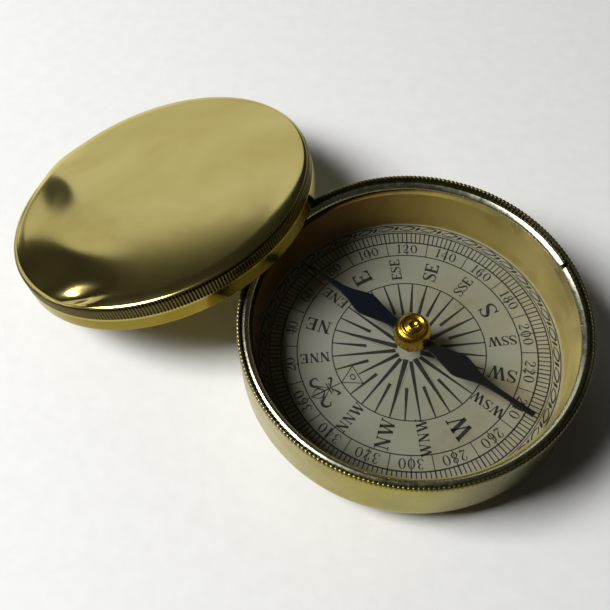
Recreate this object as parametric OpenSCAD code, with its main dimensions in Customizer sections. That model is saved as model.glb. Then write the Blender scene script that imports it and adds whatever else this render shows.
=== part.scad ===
// Round brass pocket compass. The case stands open on its base, and the lid has been
// taken off and leans on it: its low edge is on the table, its high side on the rim.
// The origin is the middle of the base. Z points up, and the lid leans towards -X.

/* [Case] */
// Outer radius of the case
case_r = 30; // [26:0.5:34]
// Height of the case, from the table to the top of its rim
case_h = 17.6; // [16.8:0.2:19]
// Thickness of the sheet that the case is spun from
case_wall = 0.7; // [0.5:0.05:0.9]
// Outer radius of the soft corner between base and wall
case_corner_r = 7; // [6:0.25:8]

/* [Glass and ring] */
// Depth of the glass below the rim
glass_drop = 1.5; // [1.3:0.1:1.8]
// Thickness of the glass
glass_t = 1.4; // [1:0.1:1.6]
// Width of the split ring that holds the glass
ring_w = 1.4; // [1.2:0.05:1.5]
// Height of the split ring
ring_h = 0.9; // [0.7:0.05:1]
// Width of the gap in the split ring
ring_gap = 0.9; // [0.5:0.1:2]
// Place of the gap round the rim, in degrees from +X
ring_gap_a = 53; // [0:1:359]
// Thickness of the sleeve inside the wall
sleeve_t = 1.95; // [1.2:0.05:2.2]

/* [Dial] */
// Height of the printed face of the dial above the table
dial_h = 5.2; // [4.8:0.1:5.6]
// Thickness of the brass plate behind the dial
plate_t = 0.7; // [0.4:0.1:1]
// Thickness of the paper card
card_t = 0.2; // [0.15:0.05:0.3]
// Width of the ring that the dial plate sits on
seat_t = 1; // [0.8:0.1:1.5]
// Distance of that ring from the edge of the plate
seat_inset = 1.1; // [0.6:0.1:2]

/* [Pivot] */
// Radius of the pillar under the dial
pillar_r = 2.5; // [2:0.1:4]
// Radius of the steel pivot
pin_r = 0.5; // [0.4:0.05:0.6]
// Radius at the tip of the pivot
pin_tip_r = 0.08; // [0.05:0.01:0.1]
// Length of the point of the pivot
pin_point = 1.3; // [1:0.1:1.6]
// Depth of the pivot in the pillar
pin_set = 2.2; // [1.5:0.1:2.8]

/* [Needle] */
// Length of each arm of the needle
arm_l = 24.6; // [20:0.2:25.5]
// Width across the shoulders of the needle
shoulder_w = 4.5; // [3.5:0.1:5.5]
// Thickness of the needle
blade_t = 0.35; // [0.25:0.05:0.5]
// Direction of the blued arm, in degrees from +X
needle_a = 173.4; // [0:0.2:360]
// Outer radius of the brass cap
cap_r = 3.2; // [3.1:0.05:4]
// Height of the cap above the needle
cap_h = 3.1; // [2.6:0.1:3.3]
// Radius of the jewel
jewel_r = 1.25; // [1:0.05:1.4]
// Height of the jewel
jewel_h = 1.2; // [1:0.1:1.4]
// Radius of the shank of the cap
shank_r = 1.7; // [1.6:0.05:2]
// Radius of the collar under the needle
collar_r = 3.1; // [2.6:0.1:3.4]
// Thickness of the collar under the needle
collar_t = 0.7; // [0.5:0.05:0.9]

/* [Lid] */
// Height of the plain skirt of the lid
skirt_h = 2.65; // [1.5:0.05:3]
// Height of the milled band of the lid
band_h = 2.2; // [1.5:0.05:3]
// Radius of the rounded edge of the lid
edge_r = 0.75; // [0.6:0.05:2.4]
// Rise of the dome above the rounded edge
crown_h = 2; // [0.8:0.1:3]
// Thickness of the sheet that the lid is spun from
lid_wall = 0.6; // [0.5:0.05:0.8]
// Direction in which the lid slopes down, in degrees from +X
lean_a = 170; // [165:1:190]
// How far round the lid, from its low side, it meets the rim, in degrees
lean_lid_a = 214; // [200:1:216]
// Where on the rim it rests, in degrees from +X
lean_rim_a = 156; // [150:1:165]

/* [Hidden] */

$fn = 180;
// The dome is a small piece of a large sphere, so its circle is drawn finer
dome_fn = 1440;
// Past the surface of whatever a cut goes through
overrun = 1;

// Clearances
lid_fit = 0.08;
lid_rest_gap = 0.15;
sleeve_fit = 0.05;
sleeve_foot_fit = 0.15;
glass_fit = 0.3;
plate_fit = 0.4;
pin_fit = 0.05;
jewel_clearance = 0.05;
cap_clearance = 0.3;
seat_fit = 0.05;

// The pan
pan_r = case_r - case_wall;
pan_corner_r = case_corner_r - case_wall;
corner_x = case_r - case_corner_r;
rim_r = case_r - case_wall / 2;

// Inner radius of the pan at a height, on its corner and above it
function pan_r_at(z) =
    z >= case_corner_r ? pan_r : corner_x + sqrt(pan_corner_r ^ 2 - (case_corner_r - z) ^ 2);
// Height of the inside of the pan at a radius on its corner
function pan_z_at(r) = case_corner_r - sqrt(pan_corner_r ^ 2 - (r - corner_x) ^ 2);

// Dial, glass and ring
card_z = dial_h - card_t;
plate_z = card_z - plate_t;
plate_r = pan_r_at(plate_z) - plate_fit;
seat_r = plate_r - seat_inset;
seat_z = pan_z_at(seat_r) + seat_fit;
glass_top = case_h - glass_drop;
glass_z = glass_top - glass_t;
sleeve_r = pan_r - sleeve_fit;
sleeve_foot_r = pan_r_at(dial_h) - sleeve_foot_fit;
sleeve_bore = sleeve_r - sleeve_t;
glass_r = pan_r - glass_fit;
ring_mid_r = pan_r - sleeve_fit - ring_w / 2;

// The cap stands just under the glass, and the needle hangs from it
cap_top = glass_z - cap_clearance;
blade_top = cap_top - cap_h;
blade_z = blade_top - blade_t;
collar_z = blade_z - collar_t;
cap_edge_r = 0.9;
cap_step_w = 0.35;
cap_step_h = 0.45;
cap_ring_r = 2.15;
cap_boss_r = 1.2;
cap_groove_depth = 0.25;
cap_dimple_r = 0.8;
cap_dimple_depth = 0.25;
cap_crown_t = 0.6;
jewel_top = cap_top - cap_crown_t;
jewel_z = jewel_top - jewel_h;
jewel_cup_depth = 0.9;
jewel_cup_r = 0.9;
jewel_cup_tip_r = 0.15;
hub_r = 3;
tip_w = 0.2;
tail_w = 0.7;

// Stations along an arm: share of the arm's length, then share of the shoulder width
arm_shares = [[0.14, 0.4], [0.2, 0.48], [0.3, 0.74], [0.41, 1], [0.48, 0.72], [0.54, 0.48],
    [0.61, 0.3], [0.72, 0.2], [0.84, 0.13]];

// The pivot ends in the hollow of the jewel
pin_tip_z = jewel_z + jewel_cup_depth - jewel_clearance;
pin_z = plate_z - pin_set;

// The lid fits inside the rim
lid_r = pan_r - lid_fit;
lid_h = skirt_h + band_h + edge_r + crown_h;
// Radius of the sphere of the dome, which runs smoothly into the rounded edge
dome_r = ((lid_r - edge_r) ^ 2 + (edge_r + crown_h) ^ 2 - edge_r ^ 2) / (2 * crown_h);
dome_z = lid_h - dome_r;
// Least radius of the rounded edge on the inside of the lid
lid_hollow_edge_r = 0.15;

// How the lid leans: its mouth touches the table at its low side and comes to rest over the rim
lean_tilt = asin((case_h + lid_rest_gap) / (lid_r * (1 - cos(lean_lid_a))));
lean_reach = [lid_r * cos(lean_lid_a) * cos(lean_tilt), lid_r * sin(lean_lid_a)];
lid_x = rim_r * cos(lean_rim_a) - lean_reach.x * cos(lean_a) + lean_reach.y * sin(lean_a);
lid_y = rim_r * sin(lean_rim_a) - lean_reach.x * sin(lean_a) - lean_reach.y * cos(lean_a);
lid_z = lid_r * sin(lean_tilt);

// Half section of the pan's outside or inside, from its corner radius and its wall radius
module pan_section(radius, corner, top) {
    translate([corner_x, case_corner_r]) circle(corner);
    translate([0, case_corner_r - corner]) square([corner_x, top - case_corner_r + corner]);
    translate([0, case_corner_r]) square([radius, top - case_corner_r]);
}

module case_pan() {
    color("#b8a66a")
    rotate_extrude() {
        difference() {
            intersection() {
                pan_section(case_r, case_corner_r, case_h - case_wall / 2);
                square([case_r, case_h]);
            }
            pan_section(pan_r, pan_corner_r, case_h);
        }
        translate([rim_r, case_h - case_wall / 2]) circle(case_wall / 2);
    }
}

module dial_seat() {
    color("#8f7a3c")
    translate([0, 0, seat_z])
    difference() {
        cylinder(h = plate_z - seat_z, r = seat_r);
        translate([0, 0, -overrun])
            cylinder(h = plate_z - seat_z + 2 * overrun, r = seat_r - seat_t);
    }
}

module pivot_pillar() {
    color("#9c8644")
    difference() {
        translate([0, 0, case_wall]) cylinder(h = plate_z - case_wall, r = pillar_r);
        translate([0, 0, pin_z]) cylinder(h = pin_set + overrun, r = pin_r);
    }
}

module pivot_pin() {
    color("#77787a") {
        translate([0, 0, pin_z]) cylinder(h = pin_tip_z - pin_point - pin_z, r = pin_r);
        translate([0, 0, pin_tip_z - pin_point]) cylinder(h = pin_point, r1 = pin_r, r2 = pin_tip_r);
    }
}

// Round disc with a hole for the pivot
module pierced_disc(radius, thickness) {
    difference() {
        cylinder(h = thickness, r = radius);
        translate([0, 0, -overrun]) cylinder(h = thickness + 2 * overrun, r = pin_r + pin_fit);
    }
}

module dial_plate() {
    color("#a08a48") translate([0, 0, plate_z]) pierced_disc(plate_r, plate_t);
}

module dial_card() {
    color("#cfcbb4") translate([0, 0, card_z]) pierced_disc(plate_r, card_t);
}

module inner_sleeve() {
    color("#a3925a")
    rotate_extrude()
    polygon([[sleeve_bore, dial_h], [sleeve_foot_r, dial_h], [sleeve_r, case_corner_r],
        [sleeve_r, glass_z], [sleeve_bore, glass_z]]);
}

module glass() {
    color("#dfe8e4", 0.3) translate([0, 0, glass_z]) cylinder(h = glass_t, r = glass_r);
}

module retaining_ring() {
    color("#bdbdb4")
    difference() {
        rotate_extrude()
        translate([ring_mid_r, glass_top])
        intersection() {
            translate([0, ring_h - ring_w / 2]) circle(ring_w / 2);
            translate([-ring_w, 0]) square([2 * ring_w, ring_h]);
        }
        rotate([0, 0, ring_gap_a])
            translate([ring_mid_r - ring_w, -ring_gap / 2, glass_top - overrun])
            cube([2 * ring_w, ring_gap, ring_h + 2 * overrun]);
    }
}

// Upper edge of one arm, from the hub outwards
function arm_edge(end_w) = concat([for (s = arm_shares) [s[0] * arm_l, s[1] * shoulder_w / 2]],
    [[arm_l, end_w / 2]]);
function reversed(list) = [for (i = [len(list) - 1 : -1 : 0]) list[i]];

module needle_blade() {
    front = arm_edge(tip_w);
    back = [for (p = reversed(arm_edge(tail_w))) [-p.x, p.y]];
    edge = concat(back, front);
    color("#26303c")
    translate([0, 0, blade_z])
    rotate([0, 0, needle_a])
    difference() {
        union() {
            linear_extrude(blade_t) polygon(concat(edge, [for (p = reversed(edge)) [p.x, -p.y]]));
            cylinder(h = blade_t, r = hub_r);
        }
        translate([0, 0, -overrun]) cylinder(h = blade_t + 2 * overrun, r = shank_r);
    }
}

module needle_collar() {
    color("#b8922e")
    translate([0, 0, collar_z])
    difference() {
        cylinder(h = collar_t, r = collar_r);
        translate([0, 0, -overrun]) cylinder(h = collar_t + 2 * overrun, r = shank_r);
    }
}

// Turned cap: a rounded drum, a step, a raised ring round a groove, and a boss with a dimple,
// over a hollow shank
module needle_cap() {
    color("#d2a62a")
    translate([0, 0, collar_z])
    rotate_extrude()
    difference() {
        union() {
            square([shank_r, cap_top - collar_z]);
            translate([0, blade_top - collar_z]) {
                square([cap_r, cap_h - cap_step_h - cap_edge_r]);
                square([cap_r - cap_edge_r, cap_h - cap_step_h]);
                translate([cap_r - cap_edge_r, cap_h - cap_step_h - cap_edge_r]) circle(cap_edge_r);
                square([cap_ring_r, cap_h - cap_step_h / 2]);
                square([cap_ring_r - cap_step_h / 2, cap_h]);
                translate([cap_ring_r - cap_step_h / 2, cap_h - cap_step_h / 2]) circle(cap_step_h / 2);
            }
        }
        translate([0, cap_top - collar_z - cap_dimple_depth]) square([cap_dimple_r, overrun]);
        translate([cap_boss_r, cap_top - collar_z - cap_groove_depth])
            square([cap_ring_r - cap_step_w - cap_boss_r, overrun]);
        translate([0, -overrun]) square([jewel_r, jewel_top - collar_z + overrun]);
        translate([-cap_r, -overrun]) square([cap_r, cap_top - collar_z + 2 * overrun]);
    }
}

module cap_jewel() {
    color("#8c5a3c")
    translate([0, 0, jewel_z])
    difference() {
        cylinder(h = jewel_h, r = jewel_r);
        cylinder(h = jewel_cup_depth, r1 = jewel_cup_r, r2 = jewel_cup_tip_r);
    }
}

// Half section of the lid's outside, drawn in by a wall thickness for its inside
module lid_section(inset) {
    edge = max(edge_r - inset, lid_hollow_edge_r);
    edge_x = lid_r - inset - edge;
    dome = dome_r - inset;
    // The rounded edge touches the wall and the dome
    edge_z = dome_z + sqrt((dome - edge) ^ 2 - edge_x ^ 2);
    square([lid_r - inset, edge_z]);
    translate([edge_x, edge_z]) circle(edge);
    intersection() {
        translate([0, dome_z]) circle(dome, $fn = dome_fn);
        square([edge_x * dome / (dome - edge), lid_h]);
    }
}

module lid_shell() {
    color("#b3a04e")
    translate([lid_x, lid_y, lid_z])
    rotate([0, 0, lean_a])
    rotate([0, lean_tilt, 0])
    rotate_extrude()
    difference() {
        intersection() {
            lid_section(0);
            square([lid_r, lid_h]);
        }
        lid_section(lid_wall);
        translate([0, -overrun]) square([lid_r - lid_wall, skirt_h + overrun]);
    }
}

case_pan();
dial_seat();
pivot_pillar();
pivot_pin();
dial_plate();
dial_card();
inner_sleeve();
glass();
retaining_ring();
needle_blade();
needle_collar();
needle_cap();
cap_jewel();
lid_shell();
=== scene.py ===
"""Dresses a round brass pocket compass that stands open, with its lid leaning on its rim.

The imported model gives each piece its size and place. This script adds the milled edges, the
printed dial, the needle's finish, every material, the light and the camera. Sizes are in
millimetres here, and become metres where a mesh is made.
"""

import logging
import math
from dataclasses import dataclass, field
from enum import Enum
from typing import Optional, Sequence

import bpy
from mathutils import Matrix, Vector


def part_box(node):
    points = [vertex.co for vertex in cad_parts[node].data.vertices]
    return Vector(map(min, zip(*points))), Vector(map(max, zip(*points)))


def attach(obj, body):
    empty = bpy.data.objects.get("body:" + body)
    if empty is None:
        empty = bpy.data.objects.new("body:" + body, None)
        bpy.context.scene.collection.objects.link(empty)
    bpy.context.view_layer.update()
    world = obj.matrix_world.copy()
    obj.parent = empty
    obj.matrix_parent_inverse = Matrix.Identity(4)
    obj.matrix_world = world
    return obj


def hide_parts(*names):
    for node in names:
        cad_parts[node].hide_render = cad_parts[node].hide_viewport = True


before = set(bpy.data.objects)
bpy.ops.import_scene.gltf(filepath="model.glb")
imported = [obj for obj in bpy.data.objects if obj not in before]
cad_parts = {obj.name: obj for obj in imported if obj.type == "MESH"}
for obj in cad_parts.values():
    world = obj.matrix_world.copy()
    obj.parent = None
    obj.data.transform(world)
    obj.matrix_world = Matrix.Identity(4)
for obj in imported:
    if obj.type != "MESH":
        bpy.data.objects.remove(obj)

LOG = logging.getLogger("compass")
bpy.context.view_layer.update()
MM = 0.001
PHOTO_SIDE = 610
CASE_WALL = 0.7
# The point attribute that darkens the brass: grime in the milled grooves, and painted shade inside the
# case's rim and over the lid's milled band.
GRIME_AND_SHADE_ATTRIBUTE = "groove"
# A wave texture repeats after this share of a unit.
WAVE_SHARE = 2 * math.pi / 20
# A colour mix's inputs and its result, by number, since other types of mix share their names.
MIX_SHARE, MIX_UNDER, MIX_OVER, MIX_RESULT = 0, 6, 7, 2

Pair = tuple[float, float]
Triple = tuple[float, float, float]
Point = Pair
PenPoint = Triple
Curve = tuple[tuple[float, float, int], ...]
Shape = tuple[list[Triple], list[tuple[int, ...]]]
Tree = bpy.types.NodeTree
Socket = bpy.types.NodeSocket
Settings = dict[str | int, object]
Links = dict[str | int, Socket]


class Body(Enum):
    """The rigid bodies that a piece can ride on."""

    CASE = "case"
    NEEDLE = "needle"
    LID = "lid"


class Slot(Enum):
    """The record's material slots, which new pieces are passed but do not use."""

    CASE = "spun_brass"
    LID = "lid_brass"
    SLEEVE = "satin_brass"
    POLISHED = "polished_brass"
    RING = "ring_steel"
    NEEDLE = "blued_steel"
    PAPER = "dial_paper"
    GLASS = "watch_glass"


class Outline(Enum):
    """The outlines that a light can have."""

    BOX = "RECTANGLE"
    OVAL = "ELLIPSE"


def linear(hex_colour: str) -> tuple[float, float, float, float]:
    """Turns an sRGB hex colour to linear light.

    Args:
        hex_colour: a colour such as "#b0a468".

    Returns:
        Red, green, blue and an alpha of one.
    """
    shares = [int(hex_colour[i : i + 2], 16) / 255 for i in (1, 3, 5)]
    red, green, blue = (s / 12.92 if s <= 0.04045 else ((s + 0.055) / 1.055) ** 2.4 for s in shares)
    return red, green, blue, 1.0


def add_node(
    tree: Tree, kind: str, settings: Optional[Settings] = None, links: Optional[Links] = None
) -> bpy.types.NodeOutputs:
    """Adds a node with its settings and its incoming links.

    Args:
        tree: the node tree that the node joins.
        kind: its type, without the "ShaderNode" that each type starts with.
        settings: values by an input's name or number, or else by a property's name. "stops" are
            the places and hex colours of a colour ramp.
        links: outputs of other nodes, by the name or number of the input that each feeds.

    Returns:
        The node's outputs.
    """
    node = tree.nodes.new("ShaderNode" + kind)
    for name, value in (settings or {}).items():
        if name == "stops":
            elements = node.color_ramp.elements
            while len(elements) < len(value):
                elements.new(0.5)
            for element, (place, colour) in zip(elements, value):
                element.position, element.color = place, linear(colour)
        elif isinstance(name, int) or name in node.inputs:
            node.inputs[name].default_value = value
        else:
            setattr(node, name, value)
    for name, output in (links or {}).items():
        tree.links.new(output, node.inputs[name])
    return node.outputs


def per_metre(size_mm: float) -> float:
    """How many patches of this size lie along a metre, which is a texture's scale."""
    return 1 / (size_mm * MM)


@dataclass(frozen=True)
class Finish:
    """What every finish shares: a name, and one shader whose patterns have real sizes."""

    name: str

    def surface(self, tree: Tree, place: Socket) -> tuple[Settings, Links]:
        """The shader's fixed settings, and the patterns that feed its other inputs."""
        raise NotImplementedError

    def shader(self, tree: Tree, place: Socket) -> Socket:
        """The finish's shader, which most finishes only fill in."""
        return add_node(tree, "BsdfPrincipled", *self.surface(tree, place))["BSDF"]

    def mottle(self, tree: Tree, place: Socket, patches: Settings, *stops: tuple[float, str]) -> Socket:
        """A colour that runs between shades, in patches."""
        share = add_node(tree, "TexNoise", patches, {"Vector": place})["Fac"]
        return add_node(tree, "ValToRGB", {"stops": stops}, {"Fac": share})["Color"]

    def make(self) -> bpy.types.Material:
        """Builds the material.

        Returns:
            The material, whose patterns follow the object's own coordinates.
        """
        material = bpy.data.materials.new(self.name)
        material.use_nodes = True
        tree = material.node_tree
        tree.nodes.clear()
        place = add_node(tree, "TexCoord")["Object"]
        add_node(tree, "OutputMaterial", links={"Surface": self.shader(tree, place)})
        return material


@dataclass(frozen=True)
class Ageing:
    """A colour graded over a piece, which multiplies the metal's own.

    It goes round the axis, towards one side, or else up the axis. On the case and the sleeve it is
    painted shade, darker on the side that the light leaves in shadow, and on the case also a painted
    reflection of the lit board on the side towards the light.
    """

    stops: tuple[tuple[float, str], ...]
    side_deg: Optional[float] = None
    heights: Pair = (0.0, 1.0)

    def tint(self, tree: Tree, place: Socket) -> Socket:
        """Makes the colour that multiplies the metal's own.

        Args:
            tree: the node tree.
            place: the piece's own coordinates.

        Returns:
            The tint's colour.
        """
        if self.side_deg is None:
            value = add_node(tree, "SeparateXYZ", links={"Vector": place})["Z"]
            low, high = (height * MM for height in self.heights)
        else:
            flatten = {"operation": "MULTIPLY", 1: (1, 1, 0)}
            flat = add_node(tree, "VectorMath", flatten, {0: place})["Vector"]
            outward = add_node(tree, "VectorMath", {"operation": "NORMALIZE"}, {0: flat})["Vector"]
            facing = {"operation": "DOT_PRODUCT", 1: (*polar(1.0, self.side_deg), 0)}
            value = add_node(tree, "VectorMath", facing, {0: outward})["Value"]
            low, high = -1.0, 1.0
        reach = {"From Min": low, "From Max": high}
        share = add_node(tree, "MapRange", reach, {"Value": value})["Result"]
        return add_node(tree, "ValToRGB", {"stops": self.stops}, {"Fac": share})["Color"]


@dataclass(frozen=True)
class SpunBrass(Finish):
    """Brass sheet spun over a former, then rubbed and handled for a century.

    To the eye: a warm metal that stays warm at a glancing angle, with faint rings from the
    spinning, a cloudy tarnish that dulls it in patches, dark grime in the milled grooves, and fine
    scratches. The same dark colour is painted shade inside the case's rim and over the lid's milled
    band, and a graded tint paints shade across the case and the sleeve.
    """

    bright: str
    dull: str
    stain: str
    roughness: float
    dull_roughness: float
    dull_metal: float = 1.0
    cloud_mm: float = 14.0
    spot_share: float = 0.45
    stain_amount: float = 0.5
    grime: str = "#2b2410"
    glancing: str = "#fffee6"
    ring_pitch_mm: float = 0.6905
    ring_depth_mm: float = 0.002
    scratch_mm: float = 0.25
    scratch_depth_mm: float = 0.0015
    ageing: Optional[Ageing] = None
    pose: Optional[Matrix] = None

    def surface(self, tree: Tree, place: Socket) -> tuple[Settings, Links]:
        """Lays tarnish, stains, a graded tint, grime and painted shade over the metal.

        Args:
            tree: the node tree.
            place: the object's own coordinates.

        Returns:
            The shader's settings and links, with patterns that follow the piece's own axis.
        """
        if self.pose is not None:
            back = self.pose.inverted()
            upright = {"Location": back.to_translation(), "Rotation": back.to_euler()}
            place = add_node(tree, "Mapping", upright, {"Vector": place})["Vector"]
        patches = {"Scale": per_metre(self.cloud_mm), "Detail": 5.0, "Roughness": 0.55, "Distortion": 0.4}
        cloud = add_node(tree, "TexNoise", patches, {"Vector": place})["Fac"]
        spots = {"Scale": per_metre(self.spot_share * self.cloud_mm), "Detail": 3.0}
        spot = add_node(tree, "TexNoise", spots, {"Vector": place})["Fac"]
        spread = {"From Min": 0.58, "From Max": 0.78, "To Max": self.stain_amount}
        stained = add_node(tree, "MapRange", spread, {"Value": spot})["Result"]
        tarnish = {"stops": [(0.34, self.bright), (0.66, self.dull)]}
        colour = add_node(tree, "ValToRGB", tarnish, {"Fac": cloud})["Color"]
        stain = {"data_type": "RGBA", MIX_OVER: linear(self.stain)}
        colour = add_node(tree, "Mix", stain, {MIX_SHARE: stained, MIX_UNDER: colour})[MIX_RESULT]
        # The graded tint: painted shade on the case and the sleeve, and a darker, yellower skirt on the
        # lid.
        if self.ageing is not None:
            tint_blend = {"data_type": "RGBA", "blend_type": "MULTIPLY", MIX_SHARE: 1.0}
            over = {MIX_UNDER: colour, MIX_OVER: self.ageing.tint(tree, place)}
            colour = add_node(tree, "Mix", tint_blend, over)[MIX_RESULT]
        # Grime in the milled grooves, and painted shade inside the case's rim and over the lid's milled
        # band.
        groove = add_node(tree, "Attribute", {"attribute_name": GRIME_AND_SHADE_ATTRIBUTE})["Fac"]
        grime = {"data_type": "RGBA", MIX_OVER: linear(self.grime)}
        colour = add_node(tree, "Mix", grime, {MIX_SHARE: groove, MIX_UNDER: colour})[MIX_RESULT]
        rough, dull = self.roughness, self.dull_roughness
        matt = {"From Min": 0.34, "From Max": 0.7, "To Min": rough, "To Max": dull}
        oxide = {"From Min": 0.3, "From Max": 0.66, "To Min": 1.0, "To Max": self.dull_metal}
        return {"Specular Tint": linear(self.glancing)}, {
            "Base Color": colour,
            "Metallic": add_node(tree, "MapRange", oxide, {"Value": cloud})["Result"],
            "Roughness": add_node(tree, "MapRange", matt, {"Value": cloud})["Result"],
            "Normal": self.tooling(tree, place),
        }

    def tooling(self, tree: Tree, place: Socket) -> Socket:
        """Adds the rings that spinning leaves, and scratches over them.

        Args:
            tree: the node tree.
            place: the piece's own coordinates.

        Returns:
            The bumped normal.
        """
        lathe = {
            "wave_type": "RINGS",
            "rings_direction": "Z",
            "Scale": WAVE_SHARE * per_metre(self.ring_pitch_mm),
            "Distortion": 1.5,
            "Detail": 2.0,
        }
        rings = add_node(tree, "TexWave", lathe, {"Vector": place})["Fac"]
        cut = {"Strength": 0.25, "Distance": self.ring_depth_mm * MM}
        turned = add_node(tree, "Bump", cut, {"Height": rings})["Normal"]
        hairs = {"Scale": per_metre(self.scratch_mm), "Detail": 6.0, "Roughness": 0.7, "Distortion": 1.2}
        scratches = add_node(tree, "TexNoise", hairs, {"Vector": place})["Fac"]
        scored = {"Strength": 0.3, "Distance": self.scratch_depth_mm * MM}
        return add_node(tree, "Bump", scored, {"Height": scratches, "Normal": turned})["Normal"]


@dataclass(frozen=True)
class CleanMetal(Finish):
    """Turned or drawn metal with an even finish and a little haze.

    To the eye: clear highlights, broken slightly by fine tool marks.
    """

    bright: str
    dark: str
    roughness: float
    grain_mm: float = 1.2
    depth_mm: float = 0.001

    def surface(self, tree: Tree, place: Socket) -> tuple[Settings, Links]:
        """Lays tool marks over the metal.

        Args:
            tree: the node tree.
            place: the object's own coordinates.

        Returns:
            The shader's settings and links.
        """
        marks = {"Scale": per_metre(self.grain_mm), "Detail": 5.0, "Roughness": 0.6}
        grain = add_node(tree, "TexNoise", marks, {"Vector": place})["Fac"]
        clear, hazy = 0.7 * self.roughness, 1.3 * self.roughness
        haze = {"From Min": 0.3, "From Max": 0.7, "To Min": clear, "To Max": hazy}
        shades = {"stops": [(0.3, self.bright), (0.75, self.dark)]}
        depth = {"Strength": 0.3, "Distance": self.depth_mm * MM}
        return {"Metallic": 1.0}, {
            "Base Color": add_node(tree, "ValToRGB", shades, {"Fac": grain})["Color"],
            "Roughness": add_node(tree, "MapRange", haze, {"Value": grain})["Result"],
            "Normal": add_node(tree, "Bump", depth, {"Height": grain})["Normal"],
        }


@dataclass(frozen=True)
class HeatBluedSteel(Finish):
    """Steel strip, heated to a blue oxide on one arm and left a dark oil grey on the other.

    To the eye: navy that is nearly black on the arm that seeks north, and a flat dark grey on the
    other, both with a low sheen.
    """

    blued: str
    grey: str
    roughness: float
    angle_deg: float
    grain_mm: float = 0.8
    depth_mm: float = 0.002
    blend_mm: float = 1.5

    def surface(self, tree: Tree, place: Socket) -> tuple[Settings, Links]:
        """Splits the colour across the needle at its axis.

        Args:
            tree: the node tree.
            place: the object's own coordinates.

        Returns:
            The shader's settings and links.
        """
        ahead = {"operation": "DOT_PRODUCT", 1: (*polar(1.0, self.angle_deg), 0)}
        along = add_node(tree, "VectorMath", ahead, {0: place})["Value"]
        split = {"From Min": -self.blend_mm * MM, "From Max": self.blend_mm * MM}
        side = add_node(tree, "MapRange", split, {"Value": along})["Result"]
        strip = {"Scale": per_metre(self.grain_mm), "Detail": 6.0, "Roughness": 0.6}
        grain = add_node(tree, "TexNoise", strip, {"Vector": place})["Fac"]
        sheen = {"To Min": self.roughness - 0.08, "To Max": self.roughness + 0.12}
        oxide = {"stops": [(0.45, self.grey), (0.55, self.blued)]}
        depth = {"Strength": 0.3, "Distance": self.depth_mm * MM}
        return {"Metallic": 0.6}, {
            "Base Color": add_node(tree, "ValToRGB", oxide, {"Fac": side})["Color"],
            "Roughness": add_node(tree, "MapRange", sheen, {"Value": grain})["Result"],
            "Normal": add_node(tree, "Bump", depth, {"Height": grain})["Normal"],
        }


@dataclass(frozen=True)
class AgedPaper(Finish):
    """Rag paper pasted on brass, yellowed by light and damp.

    To the eye: a grey cream with soft brown clouds, a little fibre, and no shine.
    """

    clean: str
    yellowed: str
    foxed: str
    cloud_mm: float = 11.0
    fibre_mm: float = 0.35
    fibre_depth_mm: float = 0.01

    def surface(self, tree: Tree, place: Socket) -> tuple[Settings, Links]:
        """Clouds the sheet and raises its fibre.

        Args:
            tree: the node tree.
            place: the object's own coordinates.

        Returns:
            The shader's settings and links.
        """
        shades = ((0.35, self.clean), (0.6, self.yellowed), (0.8, self.foxed))
        patches = {"Scale": per_metre(self.cloud_mm), "Detail": 6.0, "Roughness": 0.62}
        strands = {"Scale": per_metre(self.fibre_mm), "Detail": 4.0, "Roughness": 0.7}
        fibre = add_node(tree, "TexNoise", strands, {"Vector": place})["Fac"]
        depth = {"Strength": 0.25, "Distance": self.fibre_depth_mm * MM}
        return {"Roughness": 0.85, "IOR": 1.45}, {
            "Base Color": self.mottle(tree, place, patches, *shades),
            "Normal": add_node(tree, "Bump", depth, {"Height": fibre})["Normal"],
        }


@dataclass(frozen=True)
class PrintersInk(Finish):
    """Black ink from an engraved plate, thinned and browned with age.

    To the eye: a soft black line that is slightly uneven along its length.
    """

    full: str
    worn: str
    wear_mm: float = 1.6

    def surface(self, tree: Tree, place: Socket) -> tuple[Settings, Links]:
        """Wears the ink thin in places."""
        patches = {"Scale": per_metre(self.wear_mm), "Detail": 5.0, "Roughness": 0.65}
        colour = self.mottle(tree, place, patches, (0.4, self.full), (0.75, self.worn))
        return {"Roughness": 0.7, "IOR": 1.5}, {"Base Color": colour}


@dataclass(frozen=True)
class PackedGrime(Finish):
    """Painted shade on the edge of the glass, in place of the shadow under the ring.

    To the eye: a matt black-brown line, without any shine.
    """

    dark: str
    dusty: str
    grain_mm: float = 0.6

    def surface(self, tree: Tree, place: Socket) -> tuple[Settings, Links]:
        """Mottles the painted shade unevenly."""
        patches = {"Scale": per_metre(self.grain_mm), "Detail": 4.0}
        colour = self.mottle(tree, place, patches, (0.35, self.dark), (0.8, self.dusty))
        return {"Roughness": 0.9, "IOR": 1.45}, {"Base Color": colour}


@dataclass(frozen=True)
class PaintedBoard(Finish):
    """The pale matt board that the compass stands on.

    To the eye: an even white with no gloss.
    """

    pale: str
    shade: str
    grain_mm: float = 3.0

    def surface(self, tree: Tree, place: Socket) -> tuple[Settings, Links]:
        """Shades the paint a little."""
        patches = {"Scale": per_metre(self.grain_mm), "Detail": 4.0}
        colour = self.mottle(tree, place, patches, (0.2, self.pale), (0.9, self.shade))
        return {"Roughness": 0.8, "Specular IOR Level": 0.2}, {"Base Color": colour}


@dataclass(frozen=True)
class BandedAgate(Finish):
    """Agate bead, ground to a hollow and polished.

    To the eye: a brown-red stone with fine lighter bands.
    """

    dark: str
    light: str
    band_mm: float = 0.4932

    def surface(self, tree: Tree, place: Socket) -> tuple[Settings, Links]:
        """Bands the stone.

        Args:
            tree: the node tree.
            place: the object's own coordinates.

        Returns:
            The shader's settings and links.
        """
        layers = {"Scale": WAVE_SHARE * per_metre(self.band_mm), "Distortion": 4.0, "Detail": 3.0}
        bands = add_node(tree, "TexWave", layers, {"Vector": place})["Fac"]
        shades = {"stops": [(0.3, self.dark), (0.9, self.light)]}
        colour = add_node(tree, "ValToRGB", shades, {"Fac": bands})["Color"]
        return {"Roughness": 0.15, "IOR": 1.54}, {"Base Color": colour}


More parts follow.
